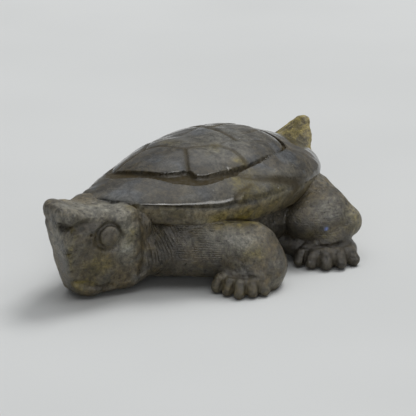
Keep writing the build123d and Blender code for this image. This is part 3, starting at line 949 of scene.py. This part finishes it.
# Stone materials, painted in the object's own coordinates
class Nodes:
    """Adds and joins the nodes of one shader."""

    def __init__(self, tree, place="Object"):
        self.tree = tree
        self.place = self.add("ShaderNodeTexCoord").outputs[place]

    def add(self, kind, **settings):
        node = self.tree.nodes.new(kind)
        for key, value in settings.items():
            setattr(node, key, value)
        return node

    def link(self, source, target):
        if isinstance(source, (int, float)):
            target.default_value = source
        elif isinstance(source, tuple):
            target.default_value = (*source, 1.0)
        else:
            self.tree.links.new(source, target)

    def math(self, operation, a, b=0.0, clamp=False):
        node = self.add("ShaderNodeMath", operation=operation, use_clamp=clamp)
        self.link(a, node.inputs[0])
        self.link(b, node.inputs[1])
        return node.outputs[0]

    def times(self, first, *others):
        for other in others:
            first = self.math("MULTIPLY", first, other)
        return first

    def plus(self, first, *others):
        for other in others:
            first = self.math("ADD", first, other)
        return first

    def span(self, value, low, high, to_low=0.0, to_high=1.0):
        """The stretch low to high drawn out softly over to_low to to_high."""
        node = self.add("ShaderNodeMapRange", interpolation_type="SMOOTHSTEP")
        self.link(value, node.inputs["Value"])
        for key, number in (("From Min", low), ("From Max", high), ("To Min", to_low), ("To Max", to_high)):
            node.inputs[key].default_value = number
        return node.outputs[0]

    def mix(self, share, first, second):
        node = self.add("ShaderNodeMix", data_type="RGBA", blend_type="MIX")
        self.link(share, node.inputs[0])
        self.link(first, node.inputs[6])
        self.link(second, node.inputs[7])
        return node.outputs[2]

    def noise(self, size, detail=4.0, rough=0.5, distortion=0.0, place=None):
        """Noise with features about size millimetres across."""
        node = self.add("ShaderNodeTexNoise")
        self.link(place or self.place, node.inputs["Vector"])
        node.inputs["Scale"].default_value = 1000 / size
        node.inputs["Detail"].default_value = detail
        node.inputs["Roughness"].default_value = rough
        node.inputs["Distortion"].default_value = distortion
        return node.outputs["Fac"]

    def lines(self, axis, pitch, distortion):
        """Parallel tool lines, pitch millimetres apart, 0 in the groove and 1 on the crest."""
        node = self.add("ShaderNodeTexWave", wave_type="BANDS", bands_direction=axis)
        self.link(self.place, node.inputs["Vector"])
        node.inputs["Scale"].default_value = 1000 * 2 * math.pi / (20 * pitch)
        node.inputs["Distortion"].default_value = distortion
        node.inputs["Detail"].default_value = 2.0
        node.inputs["Detail Scale"].default_value = 0.4
        return node.outputs["Fac"]

    def weight(self, name):
        return self.add("ShaderNodeAttribute", attribute_name=name).outputs["Fac"]

    def stretched(self, scale):
        node = self.add("ShaderNodeMapping")
        self.link(self.place, node.inputs["Vector"])
        node.inputs["Scale"].default_value = scale
        return node.outputs["Vector"]

    def scaled(self, colour, amount):
        node = self.add("ShaderNodeVectorMath", operation="SCALE")
        self.link(colour, node.inputs[0])
        self.link(amount, node.inputs["Scale"])
        return node.outputs[0]

    def cells(self, feature, place, per_metre):
        """Distances in a pattern of cells, per_metre of them to the metre."""
        node = self.add("ShaderNodeTexVoronoi", feature=feature)
        self.link(place, node.inputs["Vector"])
        node.inputs["Scale"].default_value = per_metre
        return node.outputs["Distance"]


class MaterialNodes(Nodes):
    def __init__(self, name):
        self.material = bpy.data.materials.new(name)
        self.material.use_nodes = True
        self.material.node_tree.nodes.clear()
        super().__init__(self.material.node_tree)
        self.output = self.add("ShaderNodeOutputMaterial")
        self.shader = self.add("ShaderNodeBsdfPrincipled")
        self.link(self.shader.outputs[0], self.output.inputs["Surface"])


grey_stone = (0.122, 0.112, 0.086)
dark_stone_and_shade = (0.055, 0.046, 0.03)
brown_stone = (0.112, 0.086, 0.042)
olive_stone = (0.21, 0.168, 0.045)
pale_stone_and_highlight = (0.24, 0.235, 0.2)
blue_stone = (0.095, 0.107, 0.12)
flash_blue = (0.16, 0.22, 0.5)
# dark brown for the hairline cracks, for grit and dust, and for painted shade in hollows, the channel and
# the seams
hollow_stone = (0.05, 0.036, 0.013)
fleck_white = (0.62, 0.62, 0.58)


# Tool lines: weight, direction, pitch, distortion, strength
tool_lines = (
    ("neck_lines", "Y", 0.5, 4, 0.5), ("arm_lines", "Z", 0.45, 4, 0.5),
    ("face_lines", "X", 0.55, 4, 0.7), ("thigh_lines", "Z", 0.5, 9, 0.15),
)


def tool_line_relief(n):
    """Height of the tool lines about zero, where their weights put them."""
    total = 0.0
    for name, axis, pitch, distortion, strength in tool_lines:
        wave = n.math("SUBTRACT", n.lines(axis, pitch, distortion), 0.5)
        total = n.plus(total, n.times(wave, n.times(n.weight(name), strength)))
    broken = n.span(n.noise(2.2, 4, 0.65), 0.4, 0.62, 0.1, 1)
    return n.times(total, broken)


def stone_tint(n, broad, patchy, warmth, blueness, olive_share):
    """Grey stone clouded with brown and blue, then the pale patches, partly painted highlight, the blue and
    olive patches, and the dark patches, mostly painted shade.
    """
    colour = n.mix(n.span(broad, 0.36, 0.62), dark_stone_and_shade, grey_stone)
    colour = n.mix(n.times(n.span(patchy, 0.38, 0.58, 0.1, 1), warmth), colour, brown_stone)
    blue = n.span(n.noise(6.5, 3, 0.5, 0.4), 0.5, 0.66, 0, blueness)
    colour = n.mix(blue, colour, blue_stone)
    # pale patches: partly painted highlight
    pale = n.math("MULTIPLY", n.weight("pale"), n.span(patchy, 0.3, 0.62, 0.35, 1), clamp=True)
    colour = n.mix(pale, colour, pale_stone_and_highlight)
    sheen = n.math("MULTIPLY", n.weight("blue"), n.span(broad, 0.35, 0.6, 0.4, 1), clamp=True)
    colour = n.mix(sheen, colour, blue_stone)
    flash = n.span(n.weight("blue"), 1, 1.7)
    colour = n.mix(flash, colour, flash_blue)
    clouded = n.span(n.noise(2.6, 5, 0.65, 0.5), 0.36, 0.6, 0.35, 1.1)
    olive = n.math("MULTIPLY", n.plus(n.weight("olive"), olive_share), clouded, clamp=True)
    colour = n.mix(olive, colour, olive_stone)
    # dark patches: mostly painted shade
    return n.mix(n.math("MULTIPLY", n.weight("dark"), 0.75, clamp=True), colour, dark_stone_and_shade)


def with_cracks_and_flecks(n, colour, patchy, tiny):
    edge = n.cells("DISTANCE_TO_EDGE", n.stretched((1, 1.4, 0.8)), 130)
    cracked = n.times(n.span(edge, 0.012, 0), n.span(patchy, 0.5, 0.6, 0, 0.5))
    colour = n.mix(cracked, colour, hollow_stone)
    center = n.cells("F1", n.place, 1300)
    flecks = n.times(n.span(center, 0.2, 0.1), n.span(n.noise(4, 2), 0.57, 0.62))
    flecks = n.times(flecks, n.span(tiny, 0.5, 0.6, 0, 0.6))
    return n.mix(flecks, colour, fleck_white)


def stone_material(
    name, roughness, tone, warmth, blueness, grain, relief_depth, olive_share=0, lined=False, banded=False
):
    """Stone from its gloss, brightness, share of each tint, grain, and depth of relief in metres."""
    n = MaterialNodes(name)
    line_height = tool_line_relief(n) if lined else 0.0
    broad = n.noise(9, 6, 0.62, 0.6)
    patchy = n.noise(4.5, 5, 0.6, 0.9, n.stretched((1, 1, 1.5)))
    fine = n.noise(0.9, 5, 0.7)
    tiny = n.noise(0.28, 3, 0.6)
    mottle = n.noise(2.4, 6, 0.72, 0.8)
    colour = stone_tint(n, broad, patchy, warmth, blueness, olive_share)
    # clouded grain and fine speckle; along the tool lines, painted shade in the grooves and painted
    # highlight on the crests
    speckle = n.plus(n.span(fine, 0.25, 0.75, 1 - grain, 1 + grain), n.span(tiny, 0.3, 0.7, -0.2, 0.2))
    speckle = n.times(n.plus(speckle, n.times(line_height, 0.7)), n.span(mottle, 0.3, 0.7, 0.5, 1.5))
    if banded:
        # painted light: the band under the rim faces down into shade and is painted lighter; it is also
        # left less polished
        band = n.span(n.weight("band"), 0, 1)
        speckle = n.times(speckle, n.plus(1, n.times(band, 1.7)))
    colour = n.scaled(colour, n.times(speckle, tone))
    # polishing dust and painted shade in hollows; grit and painted shade in the channel and the seams
    hollow = n.times(n.span(n.weight("hollow"), 0.35, 1, 0, 0.75), n.span(fine, 0.2, 0.6, 0.6, 1))
    colour = n.mix(hollow, colour, hollow_stone)
    grit_and_shade_amount = n.math("MULTIPLY", n.weight("grit_and_shade"), n.span(fine, 0.3, 0.6, 0.65, 1), clamp=True)
    colour = n.mix(grit_and_shade_amount, colour, hollow_stone)
    n.link(with_cracks_and_flecks(n, colour, patchy, tiny), n.shader.inputs["Base Color"])
    # gloss: uneven with wear, and dull in the hollows and where grit lies
    wear = n.span(fine, 0.3, 0.7, -0.06, 0.12)
    dull = n.times(n.math("MAXIMUM", hollow, grit_and_shade_amount), 0.4)
    if banded:
        dull = n.plus(dull, n.times(band, 0.2))
    n.link(n.math("ADD", n.plus(wear, roughness), dull, clamp=True), n.shader.inputs["Roughness"])
    n.shader.inputs["IOR"].default_value = 1.55
    n.link(n.math("SUBTRACT", 0.5, n.times(dull, 0.9)), n.shader.inputs["Specular IOR Level"])
    # fine relief: pits everywhere, rougher where grit lies, and tool lines where their weights put them
    relief = n.plus(n.times(fine, 0.6), n.times(tiny, 0.25), n.times(grit_and_shade_amount, n.times(tiny, 2)))
    bump = n.add("ShaderNodeBump")
    bump.inputs["Strength"].default_value = 1.0
    bump.inputs["Distance"].default_value = relief_depth
    n.link(n.plus(relief, n.times(line_height, 0.8)), bump.inputs["Height"])
    n.link(bump.outputs[0], n.shader.inputs["Normal"])
    return n.material


polished = stone_material(
    "polished_stone", roughness=0.12, tone=0.55, warmth=0.75, blueness=0.8, grain=0.5,
    relief_depth=0.00002, banded=True,
)
honed = stone_material(
    "honed_stone", roughness=0.32, tone=1.05, warmth=1, blueness=0.3, grain=0.6,
    relief_depth=0.0006, lined=True,
)
rough_olive = stone_material(
    "rough_olive_stone", roughness=0.6, tone=1.75, warmth=0.5, blueness=0.2, grain=0.4,
    relief_depth=0.0004, olive_share=0.7,
)
for name, piece in pieces.items():
    if name == "carapace":
        piece.data.materials.append(polished)
    elif name == "tail":
        piece.data.materials.append(rough_olive)
    else:
        piece.data.materials.append(honed)


# Stage: pale floor and light
floor_mesh = bpy.data.meshes.new("floor")
floor_half = 3.0
floor_corners = [(x * floor_half, y * floor_half, 0) for x, y in ((-1, -1), (1, -1), (1, 1), (-1, 1))]
floor_mesh.from_pydata(floor_corners, [], [(0, 1, 2, 3)])
floor = bpy.data.objects.new("floor", floor_mesh)
bpy.context.collection.objects.link(floor)
floor_nodes = MaterialNodes("pale_floor")
floor_tone = floor_nodes.span(floor_nodes.noise(90.0, 2.0), 0.3, 0.7)
floor_colour = floor_nodes.mix(floor_tone, (0.66, 0.67, 0.665), (0.69, 0.70, 0.695))
floor_nodes.link(floor_colour, floor_nodes.shader.inputs["Base Color"])
floor_nodes.shader.inputs["Roughness"].default_value = 0.9
floor_nodes.shader.inputs["Specular IOR Level"].default_value = 0.0
floor_mesh.materials.append(floor_nodes.material)

world = bpy.data.worlds.new("studio")
bpy.context.scene.world = world
world.use_nodes = True
sky = Nodes(world.node_tree, "Generated")
sky_light = world.node_tree.nodes["Background"].inputs
sky_light["Color"].default_value = (0.98, 0.99, 1.0, 1.0)


def towards(n, direction):
    """How far the place seen lies in the direction: 1 along it, -1 against it."""
    dot = n.add("ShaderNodeVectorMath", operation="DOT_PRODUCT")
    n.link(n.place, dot.inputs[0])
    dot.inputs[1].default_value = direction
    return dot.outputs["Value"]


# dim in front of the object, brighter behind it, brightest overhead
low_sky = sky.span(towards(sky, (-0.2, 0.98, 0)), -0.4, 0.6, 0.03, 0.32)
high_sky = sky.span(towards(sky, (-0.05, 0.2, 0.98)), 0.6, 1.0, 0.0, 1.15)
sky.link(sky.math("ADD", low_sky, high_sky), sky_light["Strength"])


def direction_to(azimuth, elevation):
    """Unit vector, its azimuth counted from the head's side towards the turtle's left."""
    a = math.radians(azimuth)
    e = math.radians(elevation)
    return Vector((math.sin(a) * math.cos(e), -math.cos(a) * math.cos(e), math.sin(e)))


def add_aimed(thing, place, back):
    """Put a lamp or camera at the place, looking the other way from back."""
    thing.location = place
    thing.rotation_mode = "QUATERNION"
    thing.rotation_quaternion = (-back).to_track_quat("-Z", "Y")
    bpy.context.collection.objects.link(thing)


lamp_target = Vector((0, 0, 0.01))


def soft_lamp(name, azimuth, elevation, distance, size, power):
    data = bpy.data.lights.new(name, "AREA")
    data.shape = "RECTANGLE"
    data.size, data.size_y = size
    data.energy = power
    lamp = bpy.data.objects.new(name, data)
    back = direction_to(azimuth, elevation)
    add_aimed(lamp, back * distance + lamp_target, back)
    return lamp


# the key and the fill stay out of the polished reflections; the other two only glint there
key = soft_lamp("key_softbox", 190, 58, 2.0, (0.7, 0.7), 16.5)
fill = soft_lamp("low_fill", 40, 18, 1.0, (0.8, 0.4), 1.1)
for lamp in (key, fill):
    lamp.visible_glossy = False
strip = soft_lamp("glint_strip", 62, 50, 0.8, (1.1, 0.28), 4.8)
small = soft_lamp("glint_softbox", 40, 52, 0.7, (0.1, 0.1), 0.5)
for lamp in (strip, small):
    lamp.visible_diffuse = False

# Camera at the photograph's angle
camera_azimuth = 45
camera_elevation = 19
camera_distance = 420.0
pixels_per_mm = 4.6
frame_pixels = 416
anchor_height = 16.5
anchor_pixel = (201, 180)
sensor_width = 36
camera_turn = math.radians(camera_azimuth)
right = Vector((math.cos(camera_turn), math.sin(camera_turn), 0))
back = direction_to(camera_azimuth, camera_elevation)
up = back.cross(right)
target = Vector((0, 0, anchor_height))
target -= right * ((anchor_pixel[0] - frame_pixels / 2) / pixels_per_mm)
target += up * ((anchor_pixel[1] - frame_pixels / 2) / pixels_per_mm)
camera_data = bpy.data.cameras.new("camera")
camera_data.sensor_width = sensor_width
camera_data.lens = sensor_width * pixels_per_mm * camera_distance / frame_pixels
camera_data.clip_start = 0.01
camera_data.clip_end = 20
camera = bpy.data.objects.new("camera", camera_data)
add_aimed(camera, (target + back * camera_distance + Vector((0, row_shift, 0))) / 1000, back)
bpy.context.scene.camera = camera
bpy.context.scene.view_settings.view_transform = "Standard"
